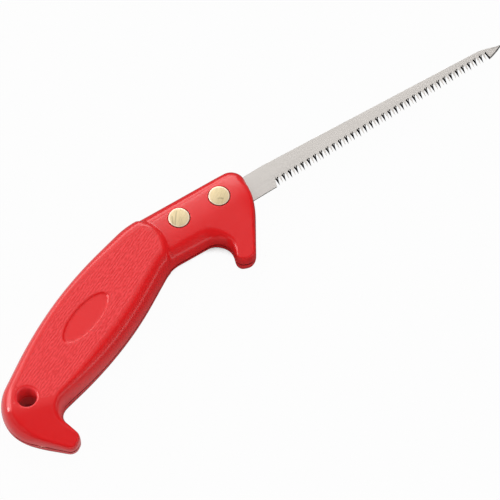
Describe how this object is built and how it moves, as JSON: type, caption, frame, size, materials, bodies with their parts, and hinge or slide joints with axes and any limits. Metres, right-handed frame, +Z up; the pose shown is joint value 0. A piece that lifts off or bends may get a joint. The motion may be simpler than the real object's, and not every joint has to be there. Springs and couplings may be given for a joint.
{
  "type": "keyhole saw",
  "caption": "Hand-held keyhole saw: narrow tapered toothed blade with a sharp point, riveted into a curved moulded handle with a finger guard, hooked butt and hanging hole.",
  "frame": {"origin": "centre of the bounding box in plan, on the lower grip face that the saw lies on", "axes": "+X along the tooth line towards the blade's tip, +Y from the teeth towards the spine, +Z up through the thickness"},
  "size_m": [0.3238, 0.0858, 0.0234],
  "materials": {
    "blade": "satin, ground lengthwise, with ground tooth facets",
    "handle": "glossy moulding with grained grip faces",
    "rivet": "pale, ground flat with a bright chamfer"
  },
  "bodies": {
    "root": {"saw_blade": "blade", "right_handle_half": "handle", "left_handle_half": "handle", "front_rivet_post": "rivet", "front_rivet_cap": "rivet", "rear_rivet_post": "rivet", "rear_rivet_cap": "rivet"}
  },
  "joints": []
}
